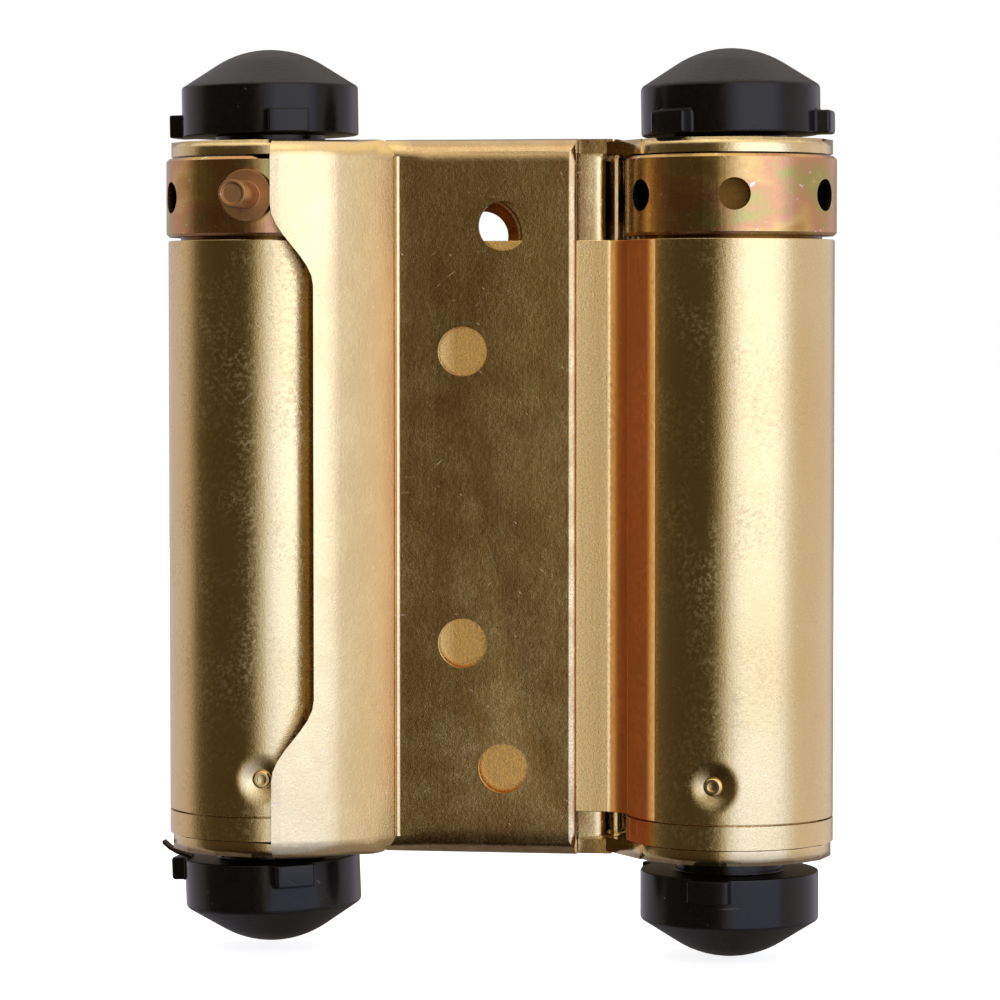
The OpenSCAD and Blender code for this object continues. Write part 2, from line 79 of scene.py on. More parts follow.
def set_clean_normals(mesh, sharp=40.0, flat_width=1.8):
    """Corner normals: each corner takes the mean of the faces that join it within the sharp angle, weighted by area,
    but a truly flat face (area over length above flat_width millimetres) keeps its own and passes it on."""
    bm = bmesh.new()
    bm.from_mesh(mesh)
    bm.faces.ensure_lookup_table()
    limit = math.cos(math.radians(sharp))
    same = math.cos(math.radians(0.2))
    flat = [None] * len(bm.faces)
    for start in bm.faces:
        if flat[start.index] is not None:
            continue
        patch, todo = {start.index}, [start]
        while todo:
            g = todo.pop()
            for e in g.edges:
                for h in e.link_faces:
                    if h.index not in patch and start.normal.dot(h.normal) > same:
                        patch.add(h.index)
                        todo.append(h)
        corners = np.array([v.co for k in patch for v in bm.faces[k].verts])
        length = np.linalg.norm(corners.max(0) - corners.min(0))
        wide = sum(bm.faces[k].calc_area() for k in patch) / max(length, 1e-6) > flat_width * MM
        for k in patch:
            flat[k] = wide
    normals = []
    for f in bm.faces:
        for loop in f.loops:
            seen, todo = {f.index}, [f]
            while todo:
                g = todo.pop()
                for e in g.edges:
                    if loop.vert in e.verts:
                        for h in e.link_faces:
                            if h.index not in seen and g.normal.dot(h.normal) > limit:
                                seen.add(h.index)
                                todo.append(h)
            best = [k for k in seen if flat[k]]
            if flat[f.index]:
                normals.append(f.normal.copy())
                continue
            total = Vector((0, 0, 0))
            for k in best or seen:
                total += bm.faces[k].normal * bm.faces[k].calc_area()
            normals.append(total.normalized() if total.length else f.normal.copy())
    bm.free()
    mesh.polygons.foreach_set("use_smooth", np.ones(len(mesh.polygons), bool))
    mesh.normals_split_custom_set(normals)


def ear_rim(edge):
    """True on the outer rims of a flange's ears, which the press rounds more than the other edges."""
    for v in edge.verts:
        x, y, z = v.co / MM
        if abs(abs(z) - 37.2) > 0.02 or math.hypot(abs(x) - AXIS_X, y + AXIS_DEPTH) < 9.0:
            return False
    return True


def ease_lip(mesh):
    """Runs the 0.3 mm step from ear to lip out over the wrap's end: z gains 0.3 * smoothstep along X."""
    pts = np.empty(len(mesh.vertices) * 3)
    mesh.vertices.foreach_get("co", pts)
    pts = pts.reshape(-1, 3)
    side = 1.0 if pts[:, 0].mean() > 0 else -1.0
    u = np.clip((14.6 - side * pts[:, 0] / MM) / 2.6, 0, 1)
    near = np.clip((np.abs(pts[:, 2]) / MM - 34.5) / 2.0, 0, 1) * (side * pts[:, 0] / MM > 11.95)
    pts[:, 2] += np.sign(pts[:, 2]) * 0.3 * MM * u * u * (3 - 2 * u) * near
    mesh.vertices.foreach_set("co", pts.reshape(-1))


def shape_plate(mesh):
    """Corner normals of a flange, worked out as if it were the front one. The plate bows by 1.8 degrees across and
    1.2 down. The lips bend softly, with a tilt of 14 + 76 * bend / 90 degrees, and the free edge rolls over, with a
    turn of 10 + 32 * bend / 90 degrees. The wrap's turn past 43 degrees is eased to 43 + 0.06 * (turn - 43), its cut
    edges stay square to the sheet, and the ears' rims rise from 8 to 70 degrees."""
    pts = np.array([v.co for v in mesh.vertices]) / MM
    side = 1.0 if pts[:, 0].mean() < 0 else -1.0
    pts[:, 0] *= side
    pts[:, 1] = side * (pts[:, 1] + AXIS_DEPTH)
    n = np.array([c.vector for c in mesh.corner_normals])
    n[:, :2] *= side
    p = pts[[loop.vertex_index for loop in mesh.loops]]
    x, y, z = p.T
    high = np.abs(z)
    face = (x > -9.5) & (y < -0.3) & (n[:, 1] < 0.05)
    bow = np.radians(1.8 * (x + 2.0) / 9.0 - 1.2 * z / 37.0)
    flat = face & (n[:, 1] < -0.999)
    rolled = face & (x > 7.4) & (y < -1.3) & (n[:, 1] > -0.999) & (high < 35.6)
    turn = np.degrees(np.arctan2(n[:, 0], -n[:, 1]))
    turn = np.radians(10 + 32 * np.clip(turn, 0, 90) / 90)
    n[rolled] = np.stack([np.sin(turn), -np.cos(turn), 0 * turn], -1)[rolled]
    soft = np.clip((high - 34.2) / 1.3, 0, 1)
    bend = np.degrees(np.arctan2(np.abs(n[:, 2]), np.hypot(n[:, 0], n[:, 1])))
    tilt = np.radians(np.where(high < 35.45, 14 * soft ** 1.5, 14 + 76 * bend / 90))
    lips = face & (high > 34.1) & (np.abs(n[:, 0]) < 0.3)
    corner = np.clip((x + 9.8) / 2.4, 0, 1)
    tilt = tilt * np.where(bend < 80, 0.3 + 0.7 * corner, 1)
    n[flat] = np.stack([np.sin(bow), -np.cos(bow), 0 * bow], -1)[flat]
    inner = (x < -7.45) & (n[:, 1] > 0.999) & (y < -0.3)
    lean = math.radians(5)
    n[inner] = (-math.sin(lean), math.cos(lean), 0)
    n[lips] = np.stack([0 * tilt, -np.cos(tilt), np.sign(z) * np.sin(tilt)], -1)[lips]
    from_axis = x + AXIS_X
    around = np.degrees(np.arctan2(from_axis, -y))
    radius = np.hypot(from_axis, y)
    level = np.hypot(n[:, 0], n[:, 1])
    outward = (n[:, 0] * from_axis + n[:, 1] * y) > 0.5 * level * radius
    wrap = (radius > 11.6) & (radius < 14.2) & (around > 43) & (x < -10.6) & outward & (level > 0.02)
    eased = np.radians(43 + 0.06 * (around - 43))
    n[wrap] = np.stack([level * np.sin(eased), -level * np.cos(eased), n[:, 2]], -1)[wrap]
    cut = (radius > 12.3) & (radius < 14.2) & (high < 35.6) & (n[:, 0] < -0.6) & (y < 0)
    square = np.radians(around - 90)
    level = np.hypot(n[:, 0], n[:, 1])
    n[cut] = np.stack([level * np.sin(square), -level * np.cos(square), n[:, 2]], -1)[cut]
    rim = (radius > 9.6) & (radius < 11) & (high > 36.4) & (high < 37.25) & (np.abs(n[:, 2]) < 0.9)
    rise = np.radians(8 + 62 * np.clip((high - 36.5) / 0.56, 0, 1))
    flatwise = n[:, :2] / (np.hypot(n[:, 0], n[:, 1])[:, None] + 1e-9)
    n[rim] = np.column_stack([flatwise * np.cos(rise)[:, None], np.sign(z) * np.sin(rise)])[rim]
    n[:, :2] *= side
    mesh.normals_split_custom_set(n.tolist())


def dressed_copy(node, edge, segments=2, angle=35, rims=0.0, turn=None):
    """Copy of a CAD node with its triangles merged into faces and its sharp edges rounded by edge millimetres. Rims
    are rounded by rims millimetres first, and turn is a matrix for a piece that sits slightly askew."""
    mesh = frame["nodes"][node].data.copy()
    mesh.name = node + "_dressed"
    bm = bmesh.new()
    bm.from_mesh(mesh)
    bmesh.ops.remove_doubles(bm, verts=bm.verts, dist=2e-7)
    bmesh.ops.dissolve_limit(
        bm, angle_limit=math.radians(0.3), verts=bm.verts, edges=bm.edges, delimit=set()
    )
    limit = math.radians(angle)
    if rims:
        side = -1 if node == "front_flange" else 1
        cuts = [((0, 0, up * level * MM), (0, 0, 1)) for level in (34.2, 34.7, 35.1, 36.5) for up in (-1, 1)]
        for place, across in cuts + [((side * 7.4 * MM, 0, 0), (1, 0, 0))]:
            whole = bm.verts[:] + bm.edges[:] + bm.faces[:]
            bmesh.ops.bisect_plane(bm, geom=whole, plane_co=place, plane_no=across, dist=1e-7)
        round_rims = [
            e for e in bm.edges if len(e.link_faces) == 2 and e.calc_face_angle(0.0) > limit and ear_rim(e)
        ]
        bmesh.ops.bevel(
            bm, geom=round_rims, offset=rims * MM, offset_type="OFFSET", segments=4, profile=0.5,
            affect="EDGES", clamp_overlap=True, miter_outer="ARC"
        )
    hard = [e for e in bm.edges if len(e.link_faces) == 2 and e.calc_face_angle(0.0) > limit]
    bmesh.ops.bevel(
        bm, geom=hard, offset=edge * MM, offset_type="OFFSET", segments=segments, profile=0.5,
        affect="EDGES", clamp_overlap=True, miter_outer="ARC"
    )
    if turn is not None:
        bmesh.ops.transform(bm, matrix=turn, verts=bm.verts)
    bm.to_mesh(mesh)
    bm.free()
    if rims:
        ease_lip(mesh)
    set_clean_normals(mesh)
    if rims:
        shape_plate(mesh)
    obj = bpy.data.objects.new(mesh.name, mesh)
    bpy.context.scene.collection.objects.link(obj)
    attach(obj, body_of_node[node])
    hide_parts(node)
    return obj


def arc(cx, cy, r, start, end, step):
    """Points and outward normals on a circle from start to end degrees, a point every step degrees."""
    a = np.radians(np.linspace(start, end, max(2, int(abs(end - start) / step) + 1)))
    d = np.stack([np.cos(a), np.sin(a)], -1)
    return np.array([cx, cy]) + r * d, d


def web_profile():
    """Closed outline of the rolled sheet about its middle plane, in millimetres: front face, concave root fillet,
    once round the right barrel to the seam, back inside it and along the rear face; the other half is the same
    turned by 180 degrees. Returns points with the normals before and after each. Near the root the normals lean
    away from the true ones, for the glow between sheet and barrel."""
    r_out, r_in, half, fillet, seam, pitch = BARREL_R, BARREL_IN_R, HALF_WEB, ROOT_FILLET, SEAM_EDGE, AXIS_X
    root = pitch - math.sqrt((r_out + fillet) ** 2 - (half + fillet) ** 2)
    lean = math.degrees(math.asin((half + fillet) / (r_out + fillet)))
    x = np.array([0.0, 4.5, 6.0, 8.5, root - 0.6])
    tilt = np.radians(np.interp(x, LEAN_AT, WEB_LEAN))
    front = (np.stack([x, np.full(len(x), -half)], -1), np.stack([np.sin(tilt), -np.cos(tilt)], -1))
    hollow = arc(root, -half - fillet, fillet, 90, lean, 7)
    crease = np.radians(np.interp(np.arange(len(hollow[1])), [0, 1, 2, 3, 4, 5, 10], [0, -4, -14, -14, 6, 16, 19]))
    hollow = hollow[0], np.stack([np.sin(crease), np.cos(crease)], -1)
    outer = arc(pitch, 0, r_out, 180 + lean, 540 - math.degrees(math.asin(seam / r_out)), 2.5)
    inner = arc(
        pitch, 0, r_in, 540 - math.degrees(math.asin(seam / r_in)), 180 - math.degrees(math.asin(half / r_in)), 5
    )
    x = np.array([pitch - 10.5, 6.0, 4.5, 0.001])
    tilt = np.radians(np.interp(x, LEAN_AT, WEB_LEAN))
    rear = (np.stack([x, np.full(len(x), half)], -1), np.stack([-np.sin(tilt), np.cos(tilt)], -1))
    pts = np.concatenate([front[0], hollow[0], outer[0], inner[0], rear[0]])
    before = np.concatenate([front[1], -hollow[1], outer[1], -inner[1], rear[1]])
    after = before.copy()
    start = len(front[0]) + len(hollow[0])
    turn = np.degrees(np.arctan2(before[:, 1], before[:, 0])) % 360
    pooled = np.arange(len(pts)) - start
    pooled = (pooled >= 0) & (pooled < 60) & (turn > 180) & (turn < 230.1)
    near = np.radians(np.interp(turn, [195, 222, 227, 231], [256, 254, 283, 287]))
    after[pooled] = before[pooled] = np.stack([np.cos(near), np.sin(near)], -1)[pooled]
    last = start + int(pooled.sum()) - 1
    a = math.radians(turn[last])
    after[last] = (math.cos(a), math.sin(a))
    seam_at = len(front[0]) + len(hollow[0]) + len(outer[0])
    after[seam_at - 1] = before[seam_at] = (0, -1)
    turn_at = len(front[0])
    before[turn_at] = before[turn_at - 1]
    after[seam_at + len(inner[0]) - 1] = (0, 1)
    return np.concatenate([pts, -pts]), np.concatenate([before, -before]), np.concatenate([after, -after])


def rolled_web():
    """The S-shaped sheet with both barrels: its outline carried up in rows, drawn in by 0.12 mm at both ends. Round
    each rivet the wall sinks by depth * (1 - t * t * (3 - 2 * t)), t being the distance over the dimple's radius."""
    pts, nrm, after = web_profile()
    foot, top, rivet, e = BARREL_FOOT, BARREL_TOP, RIVET_Z, 0.12
    rows = np.concatenate([
        [foot, foot + 0.04, foot + e], np.arange(foot + 0.4, rivet + 4.2, 0.2),
        np.arange(rivet + 6, top - 1, 4.0), [top - e, top - 0.04, top]])
    inset = np.interp(rows, [foot, foot + 0.04, foot + e, top - e, top - 0.04, top], [e, 0.04, 0, 0, 0.04, e])
    n, m = len(pts), len(rows)
    grid = np.zeros((m, n, 3))
    grid[:, :, :2] = pts[None] - inset[:, None, None] * nrm[None]
    grid[:, :, 2] = rows[:, None]
    bowl = np.zeros((m, n, 1), bool)
    for cx, turn in RIVET_TURNS:
        for back in (0, 180):
            a = math.radians(turn + back)
            centre = np.array([cx + BARREL_R * math.sin(a), -BARREL_R * math.cos(a)])
            on_wall = np.abs(np.hypot(pts[:, 0] - cx, pts[:, 1]) - BARREL_R) < 0.02
            away = np.hypot(np.hypot(*(pts - centre).T)[None], rows[:, None] - rivet)
            t = np.clip(away / DIMPLE_R, 0, 1.2)
            u = np.minimum(t, 1)
            sink = DIMPLE_DEPTH * (1 - u * u * (3 - 2 * u)) * on_wall[None]
            grid[:, :, :2] -= sink[..., None] * nrm[None]
            bowl |= (t < 1.1)[..., None] & on_wall[None, :, None]
    du = np.roll(grid, -1, 1) - np.roll(grid, 1, 1)
    dv = np.gradient(grid, axis=0)
    corner = np.cross(du, dv)
    corner /= np.linalg.norm(corner, axis=-1, keepdims=True) + 1e-12
    flat = np.zeros_like(grid)
    flat[:, :, :2] = nrm[None]
    normal = np.where(bowl, corner, flat)
    drawn = inset > 0
    normal[drawn, :, 2] += (np.sign(rows) * inset / e)[drawn, None]
    normal /= np.linalg.norm(normal, axis=-1, keepdims=True)
    grid[:, :, 1] -= AXIS_DEPTH
    i, j = np.meshgrid(np.arange(m - 1), np.arange(n), indexing="ij")
    k = (j + 1) % n
    quads = np.stack([i * n + j, i * n + k, (i + 1) * n + k, (i + 1) * n + j], -1).reshape(-1, 4)
    ends = [list(range(n))[::-1], list(range((m - 1) * n, m * n))]
    mesh = bpy.data.meshes.new("rolled_web")
    mesh.from_pydata((grid.reshape(-1, 3) * MM).tolist(), [], quads.tolist() + ends)
    mesh.polygons.foreach_set("use_smooth", np.ones(len(mesh.polygons), bool))
    sharp = np.linalg.norm(after - nrm, axis=-1) > 0.3
    later = normal.copy()
    later[:, sharp, :2] = after[sharp]
    later[:, sharp, 2] = 0
    first, last = later.reshape(-1, 3), normal.reshape(-1, 3)
    sides = np.stack([first[quads[:, 0]], last[quads[:, 1]], last[quads[:, 2]], first[quads[:, 3]]], 1).reshape(-1, 3)
    loops = [sides, np.tile([0, 0, -1.0], (n, 1)), np.tile([0, 0, 1.0], (n, 1))]
    mesh.normals_split_custom_set(np.concatenate(loops).tolist())
    obj = bpy.data.objects.new("rolled_web", mesh)
    bpy.context.scene.collection.objects.link(obj)
    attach(obj, "web")
    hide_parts("centre_web")
    return obj


# Shader node groups

def new_group(name, inputs, outputs):
    """Empty node group with the named float, vector or colour sockets, and its two ends."""
    tree = bpy.data.node_groups.new(name, "ShaderNodeTree")
    for label, kind, value in inputs:
        socket = tree.interface.new_socket(label, in_out="INPUT", socket_type="NodeSocket" + kind)
        if value is not None:
            socket.default_value = value
    for label, kind in outputs:
        tree.interface.new_socket(label, in_out="OUTPUT", socket_type="NodeSocket" + kind)
    return tree, tree.nodes.new("NodeGroupInput"), tree.nodes.new("NodeGroupOutput")


def node(tree, kind, **values):
    """Adds a node; keyword names are its properties, or its input sockets where a property doesn't fit."""
    n = tree.nodes.new("ShaderNode" + kind)
    for key, value in values.items():
        if hasattr(n, key):
            setattr(n, key, value)
        else:
            n.inputs[key.replace("_", " ")].default_value = value
    return n


def math_node(tree, operation, a, b=None):
    """One arithmetic step on sockets or numbers."""
    n = node(tree, "Math", operation=operation)
    for i, v in enumerate((a, b)):
        if v is None:
            continue
        if isinstance(v, (int, float)):
            n.inputs[i].default_value = v
        else:
            tree.links.new(v, n.inputs[i])
    return n.outputs[0]


def ramp(tree, value, stops):
    """Colour or grey ramp; stops are (place, grey or colour)."""
    n = node(tree, "ValToRGB")
    el = n.color_ramp.elements
    while len(el) < len(stops):
        el.new(0.5)
    for e, (at, c) in zip(el, stops):
        e.position = at
        e.color = (c, c, c, 1) if isinstance(c, (int, float)) else (*c, 1)
    tree.links.new(value, n.inputs[0])
    return n.outputs[0]


def mapped_noise(tree, coords, turn, stretch, scale, detail=2.0, roughness=0.5):
    """Noise on coordinates that are turned and stretched first, so that its spots run out into streaks."""
    m = node(tree, "Mapping")
    m.inputs["Rotation"].default_value = turn
    m.inputs["Scale"].default_value = stretch
    tree.links.new(coords, m.inputs["Vector"])
    n = node(tree, "TexNoise")
    n.inputs["Scale"].default_value = scale
    n.inputs["Detail"].default_value = detail
    n.inputs["Roughness"].default_value = roughness
    tree.links.new(m.outputs[0], n.inputs["Vector"])
    return n.outputs["Fac"]


def build_scratches():
    """Thin straight scratches: three sets of streaks, each turned another way, kept only where the noise peaks."""
    tree, a, b = new_group(
        "hairline scratches",
        [("Vector", "Vector", None), ("Density", "Float", 0.5), ("Scale", "Float", 300.0)],
        [("Mask", "Float")],
    )
    total = None
    for turn, stretch in (
        ((0.2, 0.9, 0.1), (0.11, 0.11, 2.4)),
        ((0.1, -1.0, 0.3), (0.1, 0.11, 2.8)),
        ((0.1, 1.5, 0.2), (0.11, 0.1, 2.2)),
    ):
        m = node(tree, "Mapping", vector_type="TEXTURE")
        m.inputs["Rotation"].default_value = turn
        m.inputs["Scale"].default_value = stretch
        tree.links.new(a.outputs["Vector"], m.inputs["Vector"])
        n = node(tree, "TexNoise")
        n.inputs["Detail"].default_value = 1.0
        tree.links.new(a.outputs["Scale"], n.inputs["Scale"])
        tree.links.new(m.outputs[0], n.inputs["Vector"])
        edge = math_node(tree, "SUBTRACT", 0.86, math_node(tree, "MULTIPLY", a.outputs["Density"], 0.2))
        over = math_node(tree, "SUBTRACT", n.outputs["Fac"], edge)
        line = math_node(tree, "MULTIPLY", over, 18.0)
        line = math_node(tree, "MAXIMUM", line, 0.0)
        line = math_node(tree, "MINIMUM", line, 1.0)
        total = line if total is None else math_node(tree, "MAXIMUM", total, line)
    tree.links.new(total, b.inputs["Mask"])
    return tree


def build_grain():
    """Grain of rolled and plated sheet: height is fine noise plus drawn lines along Z, cloud drifts slowly, speckle
    is the finest noise, and frost is small specks times wide patches, where the plating is duller."""
    tree, a, b = new_group(
        "rolled sheet grain",
        [("Vector", "Vector", None), ("Size", "Float", 1800.0), ("Lines", "Float", 0.3)],
        [("Height", "Float"), ("Cloud", "Float"), ("Speckle", "Float"), ("Frost", "Float")],
    )
    v = a.outputs["Vector"]
    dots = mapped_noise(tree, v, (0.4, 0.2, 0.1), (1, 1, 1), 5200.0, 2.0, 0.7)
    tree.links.new(ramp(tree, dots, [(0.3, 0.0), (0.5, 0.5), (0.72, 1.0)]), b.inputs["Speckle"])
    fine = node(tree, "TexNoise")
    fine.inputs["Detail"].default_value = 4.0
    fine.inputs["Roughness"].default_value = 0.75
    tree.links.new(v, fine.inputs["Vector"])
    tree.links.new(a.outputs["Size"], fine.inputs["Scale"])
    cloud = mapped_noise(tree, v, (0, 0, 0), (1, 1, 0.6), 75.0, 3.0, 0.55)
    drawn = mapped_noise(tree, v, (0, 0, 0), (1, 1, 0.03), 2600.0, 2.0)
    lines = math_node(tree, "MULTIPLY", drawn, a.outputs["Lines"])
    tree.links.new(math_node(tree, "ADD", fine.outputs["Fac"], lines), b.inputs["Height"])
    tree.links.new(cloud, b.inputs["Cloud"])
    specks = mapped_noise(tree, v, (0.3, 0.5, 0.2), (1, 1, 1), 2300.0, 3.0, 0.75)
    patches = mapped_noise(tree, v, (0.1, 0.2, 0), (1, 1, 0.7), 170.0, 3.0, 0.6)
    specks = ramp(tree, specks, [(0.44, 0.0), (0.6, 1.0)])
    patches = ramp(tree, patches, [(0.38, 0.25), (0.64, 1.0)])
    tree.links.new(math_node(tree, "MULTIPLY", specks, patches), b.inputs["Frost"])
    return tree


def build_axis_distance():
    """Distance from the nearer barrel axis: square root of (|x| - 24.4 mm) squared plus (y + 2.4 mm) squared."""
    tree, a, b = new_group("axis distance", [("Vector", "Vector", None)], [("Distance", "Float")])
    sep = node(tree, "SeparateXYZ")
    tree.links.new(a.outputs["Vector"], sep.inputs[0])
    across = math_node(tree, "SUBTRACT", math_node(tree, "ABSOLUTE", sep.outputs[0]), RIGHT_X)
    depth = math_node(tree, "SUBTRACT", sep.outputs[1], AXIS_Y)
    across = math_node(tree, "MULTIPLY", across, across)
    depth = math_node(tree, "MULTIPLY", depth, depth)
    both = math_node(tree, "ADD", across, depth)
    tree.links.new(math_node(tree, "SQRT", both), b.inputs["Distance"])
    return tree


axis_distance = build_axis_distance()
scratches = build_scratches()
grain = build_grain()


def place_group(tree, group, coords, **values):
    """Adds one shared group to a material with its own values."""
    n = tree.nodes.new("ShaderNodeGroup")
    n.node_tree = group
    for key, value in values.items():
        n.inputs[key].default_value = value
    tree.links.new(coords, n.inputs["Vector"])
    return n


def mix_colour(tree, fac, a, b):
    """Mix of two colours, each a socket or a fixed colour."""
    n = node(tree, "Mix", data_type="RGBA")
    if isinstance(fac, (int, float)):
        n.inputs[0].default_value = fac
    else:
        tree.links.new(fac, n.inputs[0])
    for i, c in ((6, a), (7, b)):
        if isinstance(c, tuple):
            n.inputs[i].default_value = (*c, 1)
        else:
            tree.links.new(c, n.inputs[i])
    return n.outputs[2]


def new_material(name):
    """Empty node material with its Principled BSDF and object coordinates."""
    mat = bpy.data.materials.new(name)
    mat.use_nodes = True
    tree = mat.node_tree
    bsdf = tree.nodes["Principled BSDF"]
    coords = tree.nodes.new("ShaderNodeTexCoord").outputs["Object"]
    return mat, tree, bsdf, coords


def place_across(tree, coords):
    """Height and depth sockets of a place, and how far it is from the middle, from 0 to 1."""
    sep = node(tree, "SeparateXYZ")
    tree.links.new(coords, sep.inputs[0])
    return sep, math_node(tree, "MULTIPLY", math_node(tree, "ABSOLUTE", sep.outputs[0]), ACROSS)


def tint_web(tree, coords, base, frost, root):
    """Colour of the web: painted shade in its middle, behind the front flange's screw holes, as deeper gold; deeper
    gold beside the barrels; and on the front of its bends a painted glow of the root tint with brighter orange edges,
    standing for light bounced between sheet and barrel. Returns the colour and the mask of the painted glow."""
    sep, across = place_across(tree, coords)
    # Painted shade: the web's middle, which lies behind the front flange's screw holes, is painted a deeper gold,
    # mottled by the frost.
    shaded = ramp(tree, across, [(0.17, 1.0), (0.33, 0.0)])
    base = mix_colour(tree, shaded, base, mix_colour(tree, frost, (1.0, 0.58, 0.14), (0.72, 0.4, 0.1)))
    beside = ramp(tree, across, [(0.2, 0.0), (0.34, 0.7), (0.47, 0.7), (0.48, 0.0)])
    base = mix_colour(tree, beside, base, (0.98, 0.62, 0.2))
    # Painted glow: on the front of the bends beside the barrels, the root tint stands for light bounced between sheet
    # and barrel.
    painted_glow_mask = ramp(tree, across, [(0.47, 0.0), (0.48, 1.0), (0.69, 1.0), (0.715, 0.0)])
    painted_glow_mask = math_node(tree, "MULTIPLY", painted_glow_mask, math_node(tree, "LESS_THAN", sep.outputs[1], AXIS_Y))
    # Painted glints: bright orange along the glow's two edges.
    painted_glint = (0.95, 0.44, 0.05)
    deeper = (0.95, 0.38, 0.04)
    painted_glow = ramp(tree, across, [(0.48, painted_glint), (0.505, deeper), (0.53, root), (0.66, root), (0.685, painted_glint)])
    return mix_colour(tree, painted_glow_mask, base, painted_glow), painted_glow_mask


def tint_plate(tree, coords, base, speckle, spots):
    """Colour of a flange: painted shade that darkens the plate towards its top, warm gold beside the crease, and
    blotches of the spots colour. Returns the colour and how strong the speckle is."""
    sep, across = place_across(tree, coords)
    speckle = math_node(tree, "MULTIPLY", ramp(tree, across, [(0.37, 1.0), (0.42, 0.2)]), speckle)
    # Painted shade: the plate turns darker brown towards its top.
    height = math_node(tree, "ADD", math_node(tree, "MULTIPLY", sep.outputs[2], 12.0), 0.5)
    on_plate = ramp(tree, across, [(0.35, 1.0), (0.38, 0.0)])
    painted_top_shade = math_node(tree, "MULTIPLY", ramp(tree, height, [(0.4, 0.0), (0.9, 0.5)]), on_plate)
    base = mix_colour(tree, painted_top_shade, base, (0.5, 0.27, 0.08))
    warm = ramp(tree, across, [(0.4, 0.0), (0.43, 0.85), (0.56, 0.6), (0.68, 0.0)])
    base = mix_colour(tree, warm, base, (0.9, 0.6, 0.2))
    blotch = mapped_noise(tree, coords, (0, 0, 0), (1, 1, 0.8), 260.0, 4.0, 0.65)
    blotch = math_node(tree, "MULTIPLY", ramp(tree, blotch, [(0.42, 1.0), (0.6, 0.0)]), speckle)
    return mix_colour(tree, blotch, base, spots), speckle


def plated(name, bright, deep, scratch, rough, bump, scratch_tint, density, size=2600.0, lines=0.2, root=None,
           plate=None, speckle=0.25, frost=0.25):
    """Plated metal under clear lacquer: colour drifts between bright and deep, scratches show paler metal, grain and
    frost break the gloss. Root is the colour of the painted glow in the web's bends, standing for light bounced between
    sheet and barrel, and plate is the colour of a flange's blotches."""
    mat, tree, bsdf, coords = new_material(name)
    g = place_group(tree, grain, coords, Size=size, Lines=lines)
    s = place_group(tree, scratches, coords, Density=density, Scale=300.0)
    base = mix_colour(tree, ramp(tree, g.outputs["Cloud"], [(0.35, 0.0), (0.68, 1.0)]), bright, deep)
    if root:
        # Painted glow in the web's bends and painted shade in its middle; the glow's mask also makes those bends
        # rougher.
        base, painted_glow_mask = tint_web(tree, coords, base, g.outputs["Frost"], root)
        rough = math_node(tree, "ADD", math_node(tree, "MULTIPLY", painted_glow_mask, 0.38), rough)
    elif plate:
        base, speckle = tint_plate(tree, coords, base, speckle, plate)
    dark = tuple(0.55 * c for c in deep)
    base = mix_colour(tree, math_node(tree, "MULTIPLY", g.outputs["Speckle"], speckle), base, dark)
    base = mix_colour(tree, math_node(tree, "MULTIPLY", s.outputs["Mask"], scratch), base, scratch_tint)
    tree.links.new(base, bsdf.inputs["Base Color"])
    bsdf.inputs["Metallic"].default_value = 1.0
    r = math_node(tree, "MULTIPLY", g.outputs["Cloud"], 0.1)
    r = math_node(tree, "ADD", r, rough)
    for mask, amount in ((g.outputs["Speckle"], 0.06), (s.outputs["Mask"], 0.1), (g.outputs["Frost"], frost)):
        r = math_node(tree, "ADD", r, math_node(tree, "MULTIPLY", mask, amount))
    tree.links.new(r, bsdf.inputs["Roughness"])
    bsdf.inputs["Coat Weight"].default_value = 0.3
    bsdf.inputs["Coat Roughness"].default_value = 0.12
    b = node(tree, "Bump", Strength=1.0, Distance=bump * MM)
    h = math_node(tree, "SUBTRACT", g.outputs["Height"], math_node(tree, "MULTIPLY", s.outputs["Mask"], 0.3))
    tree.links.new(h, b.inputs["Height"])
    tree.links.new(b.outputs[0], bsdf.inputs["Normal"])
    return mat


def moulded(name, base, grain_bump, rough, size):
    """Black moulded plastic: grained on the domes, smoother on the skirts and lugs, with a few grey scuffs."""
    mat, tree, bsdf, coords = new_material(name)
    sep = node(tree, "SeparateXYZ")
    tree.links.new(tree.nodes.new("ShaderNodeNewGeometry").outputs["Normal"], sep.inputs[0])
    dome = ramp(tree, math_node(tree, "ABSOLUTE", sep.outputs[2]), [(0.15, 0.0), (0.4, 1.0)])
    fine = mapped_noise(tree, coords, (0, 0, 0), (1, 1, 1), size, 4.0, 0.7)
    s = place_group(tree, scratches, coords, Density=0.45, Scale=260.0)
    pale = tuple(2.1 * c for c in base)
    colour = ramp(tree, fine, [(0.4, base), (0.75, pale)])
    colour = mix_colour(tree, math_node(tree, "MULTIPLY", s.outputs["Mask"], 0.18), colour, (0.22, 0.21, 0.2))
    tree.links.new(colour, bsdf.inputs["Base Color"])
    r = math_node(tree, "MULTIPLY", dome, 0.2)
    r = math_node(tree, "ADD", r, math_node(tree, "MULTIPLY", fine, 0.12))
    tree.links.new(math_node(tree, "ADD", r, rough), bsdf.inputs["Roughness"])
    b = node(tree, "Bump")
    b.inputs["Distance"].default_value = grain_bump * MM
    tree.links.new(math_node(tree, "MULTIPLY", fine, math_node(tree, "ADD", dome, 0.12)), b.inputs["Height"])
    tree.links.new(b.outputs[0], bsdf.inputs["Normal"])
    bsdf.inputs["Specular IOR Level"].default_value = 0.34
    bsdf.inputs["Specular Tint"].default_value = (1.0, 0.88, 0.7, 1)
    return mat


